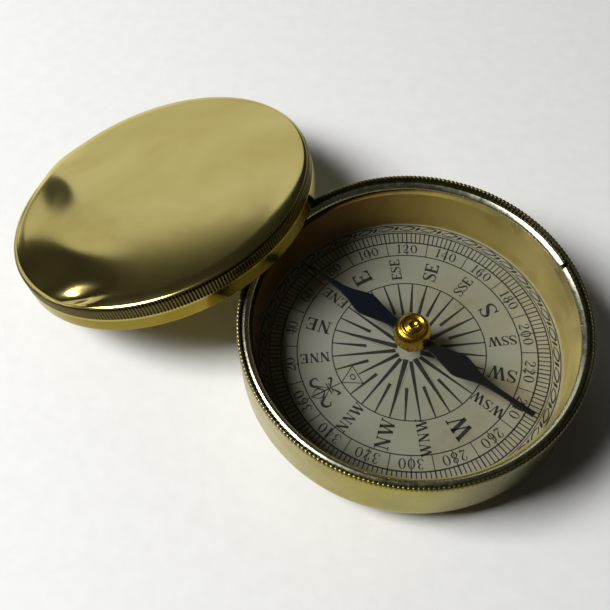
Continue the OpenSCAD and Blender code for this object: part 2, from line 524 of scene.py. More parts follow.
@dataclass(frozen=True)
class CrownGlass(Finish):
    """Flat watch glass, ground and polished.

    To the eye: clear, with a faint reflection, and it lifts the dial a little by refraction.
    Light that comes to the dial passes straight through it, as it does through a thin flat pane.
    """

    tint: str
    ior: float = 1.5
    smear_mm: float = 9.0

    def shader(self, tree: Tree, place: Socket) -> Socket:
        """Makes glass for the eye, and a clear pane for the light that crosses it.

        Args:
            tree: the node tree.
            place: the object's own coordinates.

        Returns:
            The mixed shader.
        """
        patches = {"Scale": per_metre(self.smear_mm), "Detail": 3.0}
        smear = add_node(tree, "TexNoise", patches, {"Vector": place})["Fac"]
        dim = {"From Min": 0.4, "From Max": 0.8, "To Max": 0.02}
        haze = add_node(tree, "MapRange", dim, {"Value": smear})["Result"]
        glass = {"Base Color": linear(self.tint), "IOR": self.ior, "Transmission Weight": 1.0}
        pane = add_node(tree, "BsdfPrincipled", glass, {"Roughness": haze})["BSDF"]
        clear = add_node(tree, "BsdfTransparent", {"Color": linear(self.tint)})["BSDF"]
        return add_node(tree, "MixShader", links={0: self.bounced(tree), 1: pane, 2: clear})["Shader"]

    def bounced(self, tree: Tree) -> Socket:
        """Tells the light that a surface sends back from the light that the eye looks along.

        Args:
            tree: the node tree.

        Returns:
            1 for shadow rays and for rays that bounced off a surface, or else 0.
        """
        path = add_node(tree, "LightPath")
        less = {"operation": "SUBTRACT", "use_clamp": True}
        rays = {0: path["Is Glossy Ray"], 1: path["Is Transmission Ray"]}
        mirrored = add_node(tree, "Math", less, rays)["Value"]
        total = path["Is Shadow Ray"]
        for part in (path["Is Diffuse Ray"], mirrored):
            total = add_node(tree, "Math", {"operation": "MAXIMUM"}, {0: total, 1: part})["Value"]
        return total


def polar(radius: float, angle_deg: float) -> Point:
    """The point at a radius and an angle."""
    angle = math.radians(angle_deg)
    return radius * math.cos(angle), radius * math.sin(angle)


def compass_point(bearing: float, radius: float) -> Point:
    """The point at a bearing, clockwise from north, and a radius."""
    return polar(radius, 90 - bearing)


def arc(centre: Point, radius: float, start_deg: float, end_deg: float, steps: int) -> list[Point]:
    """Points along a circular arc.

    Args:
        centre: the arc's centre.
        radius: its radius.
        start_deg: the angle that it starts at.
        end_deg: the angle that it ends at.
        steps: how many pieces it has.

    Returns:
        One point more than there are steps.
    """
    spots = [polar(radius, start_deg + (end_deg - start_deg) * i / steps) for i in range(steps + 1)]
    return [(centre[0] + x, centre[1] + y) for x, y in spots]


def flowing_arcs(start: Triple, curve: Curve) -> list[Triple]:
    """A surface's profile, made of arcs that run into each other.

    Args:
        start: the radius, height and tilt in degrees that it starts at.
        curve: for each arc, the radius and tilt that it ends at and its number of steps.

    Returns:
        Rows of radius, height and tilt.
    """
    rows = [start]
    for end_radius, end_tilt, steps in curve:
        radius, height, tilt = rows[-1]
        first, last = math.radians(tilt), math.radians(end_tilt)
        bend = (end_radius - radius) / (math.sin(last) - math.sin(first))
        for step in range(1, steps + 1):
            angle = first + (last - first) * step / steps
            reach = bend * (math.sin(angle) - math.sin(first))
            drop = bend * (math.cos(first) - math.cos(angle))
            rows.append((radius + reach, height - drop, math.degrees(angle)))
    return rows


@dataclass(frozen=True)
class Milling:
    """A row of straight grooves pressed into a spun edge by a knurling wheel."""

    teeth: int
    depth: float
    steps_per_tooth: int = 6

    @property
    def steps(self) -> int:
        """How many steps go once round the piece."""
        return self.teeth * self.steps_per_tooth

    def share(self, step: int) -> float:
        """How deep the groove is at a step, from 0 on a tooth to 1 in a groove."""
        phase = 2 * math.pi * (step % self.steps_per_tooth) / self.steps_per_tooth
        return min(1.0, max(0.0, 0.35 + 0.9 * math.cos(phase)))


PLAIN = Milling(teeth=90, depth=0.0)


@dataclass(frozen=True)
class SectionPoint:
    """A point of a half section: radius, height, how milling moves it, and how much grime and painted shade
    darken it.
    """

    radius: float
    height: float
    inward: float = 0.0
    down: float = 0.0
    soil: float = 0.0


def plain(line: Sequence[Point]) -> list[SectionPoint]:
    """A stretch of a section that has no milling."""
    return [SectionPoint(*point) for point in line]


def new_mesh(name: str, shape: Shape, sharp_deg: float = 50.0) -> bpy.types.Mesh:
    """Makes a mesh in metres, shaded smooth but for its sharp edges.

    Args:
        name: its name, which the piece takes over.
        shape: its points in millimetres, and its faces.
        sharp_deg: the angle from which an edge is sharp.

    Returns:
        The mesh.
    """
    points, faces = shape
    mesh = bpy.data.meshes.new(name)
    mesh.from_pydata([(x * MM, y * MM, z * MM) for x, y, z in points], [], faces)
    mesh.validate()
    mesh.shade_smooth()
    mesh.set_sharp_from_angle(angle=math.radians(sharp_deg))
    return mesh


def join(shapes: Sequence[Shape]) -> Shape:
    """Joins shapes to one.

    Args:
        shapes: the shapes.

    Returns:
        One shape that holds them all.
    """
    points, faces = [], []
    for more_points, more_faces in shapes:
        faces += [tuple(len(points) + i for i in face) for face in more_faces]
        points += more_points
    return points, faces


def spin(
    name: str, section: Sequence[SectionPoint], milling: Milling = PLAIN, sharp_deg: float = 50.0
) -> bpy.types.Mesh:
    """Spins a closed half section round the axis, with milling cut in.

    Args:
        name: the mesh's name.
        section: the section from the axis to the axis, its first and last point on it.
        milling: the teeth, which also set the steps.
        sharp_deg: the angle from which an edge is sharp.

    Returns:
        A closed mesh, which knows how far grime and painted shade darken each point, most in a groove.
    """
    inner = section[1:-1]
    count, steps = len(inner), milling.steps
    points = [(0.0, 0.0, section[0].height), (0.0, 0.0, section[-1].height)]
    grime_and_shade_amounts = [0.0, 0.0]
    faces = []
    for step in range(steps):
        share = milling.share(step)
        cut = milling.depth * share
        for p in inner:
            points.append((*polar(p.radius - cut * p.inward, 360 * step / steps), p.height - cut * p.down))
            grime_and_shade_amounts.append(p.soil + (1 - p.soil) * share * math.hypot(p.inward, p.down))
        here, there = 2 + step * count, 2 + (step + 1) % steps * count
        faces += [(0, there, here), (1, here + count - 1, there + count - 1)]
        faces += [(here + i, there + i, there + i + 1, here + i + 1) for i in range(count - 1)]
    mesh = new_mesh(name, (points, faces), sharp_deg)
    mesh.attributes.new(GRIME_AND_SHADE_ATTRIBUTE, "FLOAT", "POINT").data.foreach_set("value", grime_and_shade_amounts)
    return mesh


def revolve(loop: Sequence[Point], start_deg: float = 0.0, end_deg: float = 360.0) -> Shape:
    """Turns a closed loop round the axis, as a whole ring or as one with a gap.

    Args:
        loop: the section's points, anticlockwise, as radius and height.
        start_deg: where the ring starts.
        end_deg: where it ends.

    Returns:
        A closed shape.
    """
    whole = end_deg - start_deg >= 360
    steps, count = PLAIN.steps, len(loop)
    rows = steps if whole else steps + 1
    points, faces = [], []
    for row in range(rows):
        angle = start_deg + (end_deg - start_deg) * row / steps
        points += [(*polar(radius, angle), height) for radius, height in loop]
    for row in range(steps):
        here, there = row * count, (row + 1) % rows * count
        for i in range(count):
            j = (i + 1) % count
            faces.append((here + i, there + i, there + j, here + j))
    if not whole:
        faces += [tuple(range(count)), tuple(steps * count + i for i in reversed(range(count)))]
    return points, faces


def add_object(data: bpy.types.ID) -> bpy.types.Object:
    """Puts a mesh, a light or a camera in the scene, under its own name.

    Args:
        data: the mesh, light or camera.

    Returns:
        The new object.
    """
    thing = bpy.data.objects.new(data.name, data)
    bpy.context.scene.collection.objects.link(thing)
    return thing


def add_piece(
    mesh: bpy.types.Mesh, material: bpy.types.Material, body: Body, slot: Slot, *nodes: str
) -> None:
    """Adds a piece that rides on a body, and stands for some nodes.

    Args:
        mesh: its mesh, where it stands, which gives the piece its name.
        material: its finish.
        body: the body that carries it.
        slot: not used.
        nodes: the nodes that it replaces, if any.
    """
    mesh.materials.append(material)
    piece = add_object(mesh)
    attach(piece, body.value)
    if nodes:
        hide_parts(*nodes)
    LOG.info("%s rides on %s", piece.name, body.value)


def dress_node(node: str, material: bpy.types.Material) -> None:
    """Gives a carried-over node its finish.

    Args:
        node: the node's name.
        material: its finish.
    """
    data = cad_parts[node].data
    data.materials.clear()
    data.materials.append(material)
    LOG.info("%s keeps its shape, in %s", node, material.name)


@dataclass
class CasePan:
    """The spun brass pan of the case, with its milled rim."""

    wall: float = CASE_WALL
    corner_radius: float = 7.0
    milling: Milling = Milling(teeth=242, depth=0.14)
    mill_run: float = 0.5
    foot_margin: float = 0.12
    rim_steps: int = 16
    soil: float = 0.12
    # Painted shade inside the rim and down the wall above the glass, in the grime colour.
    inner_soil: float = 0.95
    finish: SpunBrass = SpunBrass(
        name="spun_brass_case",
        bright="#d2c597",
        dull="#c3b47c",
        stain="#a98f45",
        roughness=0.2,
        dull_roughness=0.34,
        dull_metal=0.7,
        grime="#26261a",
        # Painted reflection and painted shade: the wall is pale on the side towards the light and dark on
        # the side towards the case's own shadow.
        ageing=Ageing(
            side_deg=20.0,
            stops=(
                (0.13, "#c8c7ca"), (0.29, "#bcb894"), (0.44, "#bfba55"), (0.58, "#b8b969"),
                (0.74, "#847c42"), (0.89, "#454327"), (0.97, "#4c482e"),
            ),
        ),
    )

    def section(self) -> list[SectionPoint]:
        """The pan's half section, from under its base round the rim to the inside.

        Returns:
            The section's points, in millimetres.
        """
        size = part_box("case_pan")[1] / MM
        radius, half = size.x, self.wall / 2
        corner = (radius - self.corner_radius, self.corner_radius)
        middle, crest = radius - half, size.z - half
        foot = crest - self.mill_run
        points = plain([(0, 0), *arc(corner, self.corner_radius, -90, 0, 14)])
        points.append(SectionPoint(radius, foot - self.foot_margin))
        for share in (0.0, 0.35, 0.7, 1.0):
            points.append(SectionPoint(radius, foot + share * self.mill_run, share, 0.0, share * self.soil))
        for step in range(1, self.rim_steps):
            across, up = polar(1.0, 180 * step / self.rim_steps)
            fade = min(1.0, (self.rim_steps - step) / 2)
            # Painted shade that deepens from the rim's top towards its inside, over the grime on the
            # milling.
            soil = self.soil + (self.inner_soil - self.soil) * (step / self.rim_steps) ** 2
            place = (middle + half * across, crest + half * up)
            points.append(SectionPoint(*place, fade * across, 0.6 * fade * up, soil))
        points.append(SectionPoint(radius - self.wall, crest, soil=self.inner_soil))
        inside = arc(corner, self.corner_radius - self.wall, 0, -90, 10)
        return points + plain([*inside, (0, self.wall)])

    def build(self) -> None:
        """Builds the pan and dresses it."""
        mesh = spin("case_shell", self.section(), self.milling)
        add_piece(mesh, self.finish.make(), Body.CASE, Slot.CASE, "case_pan")


@dataclass(frozen=True)
class Dent:
    """A soft dent or swelling in the lid's top, oval in plan.

    Its height is below zero where the sheet is pressed in, its place is a radius and a bearing,
    and its length points along its turn.
    """

    height: float
    radius: float
    bearing_deg: float
    length: float
    width: float
    turn_deg: float

    def rise(self, x: float, y: float) -> float:
        """How far it lifts the sheet at a point.

        Args:
            x: the point's place across the lid.
            y: its place along the lid.

        Returns:
            The lift, which fades out with distance.
        """
        centre, turn = polar(self.radius, self.bearing_deg), math.radians(self.turn_deg)
        dx, dy = x - centre[0], y - centre[1]
        along = (dx * math.cos(turn) + dy * math.sin(turn)) / self.length
        across = (dy * math.cos(turn) - dx * math.sin(turn)) / self.width
        return self.height * math.exp(-0.5 * (along**2 + across**2))


@dataclass
class Lid:
    """The spun brass lid, which leans on the rim with its low side on the table."""

    fit: float = 0.08
    rest_gap: float = 0.15
    lean_deg: float = 170.0
    lid_contact_deg: float = 214.0
    rim_contact_deg: float = 156.0
    skirt: float = 2.65
    height: float = 7.45
    curve: Curve = ((14.0, 3.28, 5), (26.5, 6.2, 34), (28.45, 16.0, 12), (29.22, 90.0, 16))
    wall: float = 0.6
    milling: Milling = Milling(teeth=306, depth=0.14)
    band_margin: float = 0.12
    # Painted shade over the whole milled band, teeth too, on top of the grime in its grooves.
    band_soil: float = 0.85
    milled_tilt: float = 44.0
    milled_fade: float = 12.0
    edge_margin: float = 0.15
    edge_fade: float = 0.6
    knock: Dent = Dent(-1.05, 26.8, 107, 3.2, 1.25, 34)
    hollow: Dent = Dent(-0.8, 26.8, 84, 6.0, 2.6, 174)
    hollow_bank: Dent = Dent(0.3, 19.0, 95, 5.0, 2.5, 5)
    side_hollow: Dent = Dent(-0.6, 24.5, 37, 8.5, 5.2, 108)
    side_bank: Dent = Dent(0.9, 21.0, 17, 8.5, 3.8, 167)
    rim_bank: Dent = Dent(0.22, 29.0, 208, 10.0, 1.6, 118)

    @property
    def radius(self) -> float:
        """Outer radius of the lid, which fits inside the rim."""
        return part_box("case_pan")[1].x / MM - CASE_WALL - self.fit

    def pose(self) -> Matrix:
        """Where the lid leans.

        Returns:
            The matrix from the lid's own frame, with its mouth at height zero, to the row frame.
        """
        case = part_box("case_pan")[1] / MM
        near, aside = polar(self.radius, self.lid_contact_deg)
        tilt = math.asin((case.z + self.rest_gap) / (self.radius - near))
        reach = Vector((near * math.cos(tilt), aside, 0))
        lean = math.radians(self.lean_deg)
        reach.rotate(Matrix.Rotation(lean, 3, "Z"))
        foot = Vector((*polar(case.x - CASE_WALL / 2, self.rim_contact_deg), 0)) - reach
        foot.z = self.radius * math.sin(tilt)
        turn = Matrix.Rotation(lean, 4, "Z") @ Matrix.Rotation(tilt, 4, "Y")
        return Matrix.Translation(foot * MM) @ turn

    def section(self) -> list[SectionPoint]:
        """The lid's half section, from inside the dome round the mouth to the top.

        Returns:
            The section's points, in millimetres.
        """
        outside, inside, edge = [], [], self.radius
        for radius, height, tilt in flowing_arcs((0.0, self.height, 0.0), self.curve):
            up, across = polar(1.0, tilt)
            share = min(1.0, max(0.0, (tilt - self.milled_tilt) / self.milled_fade))
            # Painted shade over the milled band, fading in with the tilt.
            soil = share * self.band_soil
            outside.append(SectionPoint(radius, height, share * across, share * up, soil))
            inside.append(SectionPoint(radius - self.wall * across, height - self.wall * up))
        low, lip = self.skirt + self.band_margin, self.wall / 2
        mouth = arc((edge - lip, lip), lip, -180, 0, 8)
        skirt = plain([*mouth, (edge, self.skirt), (edge, low)])
        band = [
            SectionPoint(edge, height, inward=1, soil=self.band_soil)
            for height in (low + self.band_margin, (low + outside[-1].height) / 2)
        ]
        return inside + skirt + band + outside[::-1]

    def press(self, mesh: bpy.types.Mesh) -> None:
        """Presses the dents into the top, through the sheet, and leaves the edge round.

        Args:
            mesh: the lid's mesh, in its own frame.
        """
        hollows = (self.knock, self.hollow, self.side_hollow)
        dents = (*hollows, self.hollow_bank, self.side_bank, self.rim_bank)
        limit = self.radius - self.edge_margin
        for vertex in mesh.vertices:
            x, y, z = (v / MM for v in vertex.co)
            hold = min(1.0, max(0.0, (limit - math.hypot(x, y)) / self.edge_fade))
            if hold and z >= self.height / 2:
                vertex.co.z += hold * sum(dent.rise(x, y) for dent in dents) * MM

    def build(self) -> None:
        """Builds the lid where it leans, and dresses it."""
        pose = self.pose()
        finish = SpunBrass(
            name="polished_spun_brass_lid",
            bright="#d8ca84",
            dull="#cbbb70",
            stain="#bf9c50",
            roughness=0.13,
            dull_roughness=0.2,
            cloud_mm=22.0,
            stain_amount=0.25,
            # Darker and yellower on the skirt, below the milled band.
            ageing=Ageing(heights=(2.3, 3.0), stops=((0.0, "#aea56c"), (1.0, "#ffffff"))),
            pose=pose,
        )
        mesh = spin("lid_dome", self.section(), self.milling)
        self.press(mesh)
        mesh.transform(pose)
        add_piece(mesh, finish.make(), Body.LID, Slot.LID, "lid_shell")


def flow(knots: Sequence[PenPoint], steps: int = 6) -> list[PenPoint]:
    """Smooths a pen line through its knots.

    Args:
        knots: points with widths.
        steps: pieces between two knots.

    Returns:
        More points, along a Catmull-Rom curve.
    """
    ends = [knots[0], *knots, knots[-1]]
    line = []
    for i in range(len(knots) - 1):
        for t in (step / steps for step in range(steps)):
            spot = (
                b + t / 2 * (c - a + t * (2 * a - 5 * b + 4 * c - d + t * (3 * (b - c) + d - a)))
                for a, b, c, d in zip(*ends[i : i + 4])
            )
            line.append(tuple(spot))
    return [*line, tuple(knots[-1])]


def bowl(centre: Point, size: Point, thick: float, thin: float, steps: int = 28) -> list[PenPoint]:
    """A closed round stroke, thick at its sides and thin at top and bottom.

    Args:
        centre: its centre.
        size: half its width and half its height.
        thick: the stroke's width at the sides.
        thin: its width at top and bottom.
        steps: how many pieces it has.

    Returns:
        The stroke's points.
    """
    line = []
    for x, y in (polar(1.0, 360 * i / steps) for i in range(steps)):
        width = thin + (thick - thin) * abs(x) ** 1.6
        line.append((centre[0] + size[0] * x, centre[1] + size[1] * y, width))
    return line


@dataclass(frozen=True)
class Glyph:
    """One engraved letter or figure, one unit high: its strokes, solid patches and round bowls."""

    width: float
    strokes: Sequence[Sequence[PenPoint]] = ()
    patches: Sequence[Sequence[Point]] = ()
    bowls: Sequence[Sequence[PenPoint]] = ()


THICK = 0.21
THIN = 0.08


def stroke(x0: float, y0: float, x1: float, y1: float, width: float = THIN) -> list[PenPoint]:
    """A straight stroke of even width."""
    return [(x0, y0, width), (x1, y1, width)]


def serif(x: float, y: float, reach: float) -> list[PenPoint]:
    """A short flat stroke centred on the end of a stem."""
    return stroke(x - reach, y, x + reach, y)


def engraved_glyphs() -> dict[str, Glyph]:
    """Draws the letters and figures of the dial.

    Returns:
        The glyphs by character, in a plain bold roman of the engraver's kind.
    """
    top, foot = 1 - THIN / 2, THIN / 2
    return {
        "N": Glyph(1.0, [
            stroke(0.2, 0, 0.2, 1), stroke(0.2, 1, 0.8, 0, THICK), stroke(0.8, 0, 0.8, 1),
            serif(0.14, top, 0.12), serif(0.2, foot, 0.13), serif(0.82, top, 0.13),
        ]),
        "E": Glyph(0.86, [
            stroke(0.22, 0, 0.22, 1, THICK), stroke(0.06, top, 0.76, top),
            stroke(0.06, foot, 0.8, foot), stroke(0.22, 0.52, 0.56, 0.52),
        ], [
            [(0.76, 1.0), (0.58, 1.0), (0.76, 0.7)], [(0.8, 0.0), (0.58, 0.0), (0.82, 0.32)],
            [(0.58, 0.68), (0.58, 0.36), (0.48, 0.52)],
        ]),
        "S": Glyph(0.74, [flow([
            (0.62, 0.74, 0.04), (0.53, 0.91, 0.06), (0.34, 0.97, 0.07), (0.15, 0.86, 0.13),
            (0.15, 0.68, 0.17), (0.38, 0.52, 0.2), (0.62, 0.34, 0.17), (0.6, 0.13, 0.12),
            (0.37, 0.03, 0.07), (0.18, 0.08, 0.06), (0.08, 0.28, 0.04),
        ])], [
            [(0.66, 1.0), (0.59, 1.0), (0.58, 0.8), (0.64, 0.68)],
            [(0.04, 0.0), (0.11, 0.0), (0.12, 0.2), (0.06, 0.32)],
        ]),
        "W": Glyph(1.36, [
            stroke(0.16, 1, 0.46, 0, THICK), stroke(0.46, 0, 0.74, 1), stroke(0.66, 1, 0.94, 0, THICK),
            stroke(0.94, 0, 1.2, 1), serif(0.16, top, 0.15), serif(0.68, top, 0.15),
            serif(1.2, top, 0.13),
        ]),
        "0": Glyph(0.72, bowls=[bowl((0.36, 0.5), (0.25, 0.46), 0.15, 0.05)]),
        "1": Glyph(
            0.5, [stroke(0.27, 0, 0.27, 1, 0.14), serif(0.27, foot, 0.16)],
            [[(0.22, 1.0), (0.22, 0.88), (0.08, 0.82)]],
        ),
        "2": Glyph(0.7, [
            flow([
                (0.14, 0.7, 0.12), (0.17, 0.9, 0.07), (0.36, 0.97, 0.06), (0.53, 0.8, 0.15),
                (0.45, 0.53, 0.11), (0.22, 0.26, 0.06), (0.11, 0.07, 0.05),
            ]),
            flow([(0.11, 0.07, 0.06), (0.34, 0.1, 0.14), (0.52, 0.06, 0.12), (0.61, 0.25, 0.04)]),
        ]),
        "3": Glyph(0.68, [
            flow([
                (0.12, 0.8, 0.11), (0.21, 0.95, 0.06), (0.37, 0.95, 0.07), (0.48, 0.77, 0.14),
                (0.38, 0.57, 0.06), (0.25, 0.54, 0.05),
            ]),
            flow([
                (0.25, 0.54, 0.05), (0.43, 0.5, 0.07), (0.55, 0.28, 0.16), (0.42, 0.06, 0.07),
                (0.22, 0.05, 0.06), (0.1, 0.22, 0.12),
            ]),
        ]),
        "4": Glyph(0.72, [
            stroke(0.47, 0, 0.47, 1, 0.14), stroke(0.45, 1, 0.06, 0.3, 0.05),
            stroke(0.06, 0.3, 0.66, 0.3, 0.06), serif(0.47, foot, 0.15),
        ]),
        "6": Glyph(
            0.7, [flow([(0.56, 0.86, 0.1), (0.42, 0.97, 0.05), (0.2, 0.8, 0.12), (0.12, 0.4, 0.14)])],
            bowls=[bowl((0.35, 0.29), (0.22, 0.26), 0.14, 0.05)],
        ),
        "8": Glyph(0.7, bowls=[
            bowl((0.35, 0.74), (0.18, 0.21), 0.11, 0.05), bowl((0.35, 0.27), (0.22, 0.25), 0.14, 0.05),
        ]),
    }


@dataclass
class InkPrint:
    """Raised ink on the dial: closed flat shapes, drawn with y to the north and x to the east."""

    name: str
    north_deg: float
    base: float
    thickness: float = 0.02
    shapes: list[Shape] = field(default_factory=list)

    def levels(self, outline: Sequence[Point]) -> list[PenPoint]:
        """The outline on the paper, and again on top of the ink."""
        return [(x, y, z) for z in (self.base, self.base + self.thickness) for x, y in outline]

    def patch(self, outline: Sequence[Point]) -> None:
        """Adds a flat plate with this outline.

        Args:
            outline: its corners in order.
        """
        count = len(outline)
        area = sum(a[0] * b[1] - b[0] * a[1] for a, b in zip(outline, [*outline[1:], outline[0]]))
        order = list(range(count)) if area > 0 else list(reversed(range(count)))
        faces = [tuple(count + i for i in order), tuple(reversed(order))]
        faces += [(i, j, count + j, count + i) for i, j in zip(order, [*order[1:], order[0]])]
        self.shapes.append((self.levels(outline), faces))

    def pen(self, line: Sequence[PenPoint], closed: bool = False) -> None:
        """Adds a line of changing width.

        Args:
            line: points of the line's middle, each with the width there.
            closed: whether the line runs round to its start.
        """
        count = len(line)
        left, right = [], []
        for i, (x, y, width) in enumerate(line):
            before = line[i - 1] if i or closed else line[i]
            after = line[(i + 1) % count] if i + 1 < count or closed else line[i]
            run = Vector((after[0] - before[0], after[1] - before[1]))
            side = Vector((-run.y, run.x)).normalized() * width / 2
            left.append((x + side.x, y + side.y))
            right.append((x - side.x, y - side.y))
        if not closed:
            self.patch(left + right[::-1])
            return
        faces = []
        for i in range(count):
            j = (i + 1) % count
            low = (i, j, count + j, count + i)
            high = tuple(k + 2 * count for k in low)
            faces += [high[::-1], low]
            faces += [(low[1], low[0], high[0], high[1]), (low[3], low[2], high[2], high[3])]
        self.shapes.append((self.levels(left + right), faces))

    def ring(self, radius: float, width: float, steps: int = 360) -> None:
        """Adds a printed circle."""
        self.pen([(*polar(radius, 360 * i / steps), width) for i in range(steps)], closed=True)

    def ray(self, bearing: float, start: Point, end: Point) -> None:
        """Adds a radial line, from one radius and width to another."""
        self.pen([(*compass_point(bearing, radius), width) for radius, width in (start, end)])

    def build(self, material: bpy.types.Material) -> None:
        """Makes one piece of all the ink so far, turned to the dial's north.

        Args:
            material: its ink.
        """
        mesh = new_mesh(self.name, join(self.shapes), sharp_deg=0.0)
        mesh.transform(Matrix.Rotation(math.radians(self.north_deg - 90), 4, "Z"))
        add_piece(mesh, material, Body.CASE, Slot.PAPER)


@dataclass
class Dial:
    """The printed paper dial: a star of rays, the points of the compass and a ring of degrees.

    A ray is its inner radius, the width there and its outer radius, and every ray ends fine. The
    shade line is its inner radius, how far it starts to the side and its width. The letter heights
    are for names of one, two and three letters, and the triangle is the radius of its base and
    half the length of it.
    """

    north_deg: float = 239.5
    star_radius: float = 13.75
    letters_radius: float = 20.0
    numbers_radius: float = 22.9
    degrees_radius: float = 25.1
    border_radii: Pair = (25.5, 26.85)
    border_margin: float = 0.12
    leaves: int = 40
    points: int = 32
    north_ray: Triple = (2.1, 0.8, 10.3)
    main_ray: Triple = (2.1, 0.98, 13.75)
    half_ray: Triple = (2.4, 0.76, 13.75)
    small_ray: Triple = (7.6, 0.62, 13.75)
    fine: float = 0.22
    shade_line: Triple = (3.3, 0.8, 0.05)
    letter_heights: Triple = (3.3, 2.45, 1.85)
    number_height: float = 1.95
    triangle: Pair = (10.5, 1.9)
    paper: AgedPaper = AgedPaper("aged_rag_paper", "#95938a", "#928c7a", "#82755a")
    ink: PrintersInk = PrintersInk("engravers_ink", "#141412", "#2e2c25")
    glyphs: dict[str, Glyph] = field(default_factory=engraved_glyphs)
    sheet: InkPrint = field(init=False)

    def star(self) -> None:
        """Draws the thirty-two rays inside their circle."""
        self.sheet.ring(self.star_radius, 0.2)
        for point in range(self.points):
            bearing = 360 / self.points * point
            kind = self.small_ray if point % 2 else self.half_ray if point % 4 else self.main_ray
            inner, width, outer = kind if point else self.north_ray
            self.sheet.ray(bearing, (inner, width), (outer, self.fine))
            if point and point % 4 == 0:
                self.outline_ray(bearing)

    def outline_ray(self, bearing: float) -> None:
        """Draws the thin line that closes the light side of a main ray.

        Args:
            bearing: the ray's direction.
        """
        inner, side, width = self.shade_line
        (x, y), (dx, dy) = compass_point(bearing, inner), compass_point(bearing - 90, side)
        tip = compass_point(bearing, self.star_radius)
        self.sheet.pen([(x + dx, y + dy, width), (*tip, width)])

    def write(self, text: str, height: float, centre: Point, turn_deg: float, gap: float) -> None:
        """Writes a word.

        Args:
            text: its characters.
            height: their height.
            centre: the middle of the word.
            turn_deg: how far the word is turned anticlockwise.
            gap: the space between characters, as a share of the height.
        """
        turn = Matrix.Rotation(math.radians(turn_deg), 2)
        pen_x = -(sum(self.glyphs[c].width for c in text) + gap * (len(text) - 1)) / 2
        for glyph in (self.glyphs[character] for character in text):

            def put(x: float, y: float, start: float = pen_x) -> Point:
                """Places a point of the glyph on the dial."""
                spot = turn @ Vector((x + start, y - 0.5)) * height
                return centre[0] + spot.x, centre[1] + spot.y

            for lines, closed in ((glyph.strokes, False), (glyph.bowls, True)):
                for line in lines:
                    self.sheet.pen([(*put(x, y), width * height) for x, y, width in line], closed)
            for patch in glyph.patches:
                self.sheet.patch([put(x, y) for x, y in patch])
            pen_x += glyph.width + gap

    def letters(self) -> None:
        """Writes the points of the compass in the letter ring, from each side to be read upright."""
        self.sheet.ring(self.letters_radius, 0.21)
        radius = (self.star_radius + self.letters_radius) / 2
        names = "NNE NE ENE E ESE SE SSE S SSW SW WSW W WNW NW NNW".split()
        for i, name in enumerate(names, start=1):
            bearing = 22.5 * i
            turn = 0.0 if len(name) == 1 else 90 - bearing + (0 if bearing < 180 else 180)
            height = self.letter_heights[len(name) - 1]
            self.write(name, height, compass_point(bearing, radius), turn, 0.02)

    def numbers(self) -> None:
        """Writes the degrees, with their tops outwards."""
        self.sheet.ring(self.numbers_radius, 0.27)
        middle = (self.letters_radius + self.numbers_radius) / 2
        for bearing in range(10, 370, 10):
            self.sheet.ray(bearing, (self.letters_radius, 0.15), (self.numbers_radius, 0.15))
            if bearing % 20 == 0:
                spot = compass_point(bearing, middle)
                self.write(str(bearing), self.number_height, spot, -bearing, 0.07)

    def degrees(self) -> None:
        """Draws a tick for every second degree and the circles outside them."""
        self.sheet.ring(self.degrees_radius, 0.23)
        for degree in range(0, 360, 2):
            width = 0.19 if degree % 10 else 0.24
            self.sheet.ray(degree, (self.numbers_radius, width), (self.degrees_radius, width))
        for radius, width in zip(self.border_radii, (0.12, 0.18)):
            self.sheet.ring(radius, width)

    def border(self) -> None:
        """Draws the border's row of leaves, each with a dark seed that leans along it."""
        inner, outer = self.border_radii
        middle, half = (inner + outer) / 2, (outer - inner) / 2 - self.border_margin
        pitch = 360 / self.leaves
        drop = flow([(-0.55, -0.45, 0.12), (0.0, 0.0, 0.5), (0.4, 0.32, 0.16)], 4)
        for start in (i * pitch for i in range(self.leaves)):
            for side in (-1, 1):
                edge = []
                for t in (0, 0.12, 0.25, 0.4, 0.6, 0.75, 0.88, 1):
                    rise = 0.4 * (2 * t - 1) + 0.75 * side * math.sin(math.pi * t)
                    spot = compass_point(start + 0.74 * pitch * t, middle + half * rise)
                    edge.append((*spot, 0.13 + 0.12 * t))
                self.sheet.pen(edge)
            bearing = start + 0.87 * pitch
            turn = Matrix.Rotation(-math.radians(bearing), 2)
            spot = Vector(compass_point(bearing, middle))
            self.sheet.pen([(*(spot + turn @ Vector((x, y))), width) for x, y, width in drop])

    def lily(self) -> None:
        """Draws the plain lily that marks north, and the small triangle inside the star."""
        tip, base = self.letters_radius - 0.25, self.star_radius + 0.2
        span = tip - base
        petal = [(0.0, 0.0, 0.12), (0.14, 0.2, 0.16), (0.15, 0.32, 0.34), (0.0, 0.46, 0.14)]
        wing = [
            (0.03, 0.6, 0.12), (0.16, 0.42, 0.2), (0.3, 0.2, 0.52), (0.46, 0.22, 0.46),
            (0.5, 0.38, 0.24), (0.4, 0.44, 0.2),
        ]
        foot = [(0.03, 0.66, 0.16), (0.16, 0.76, 0.32), (0.28, 0.82, 0.42), (0.3, 0.72, 0.2)]
        for side in (-1, 1):
            for part in (petal, wing, foot):
                self.sheet.pen(flow([(side * x * span, tip - y * span, width) for x, y, width in part]))
        for reach, drop, width in ((0.2, 0.6, 0.2), (0.17, 0.67, 0.16)):
            self.sheet.pen([(side * reach * span, tip - drop * span, width) for side in (-1, 1)])
        self.sheet.pen([(0, tip - 0.05 * span, 0.3), (0, base, 0.16)])
        low, half = self.triangle
        corners = [(0, self.star_radius), (-half, low), (half, low)]
        for a, b in zip(corners, [*corners[1:], corners[0]]):
            self.sheet.pen([(*a, 0.16), (*b, 0.16)])
        self.sheet.pen(bowl((0, low + 1.0), (0.5, 0.42), 0.24, 0.16, 16), closed=True)

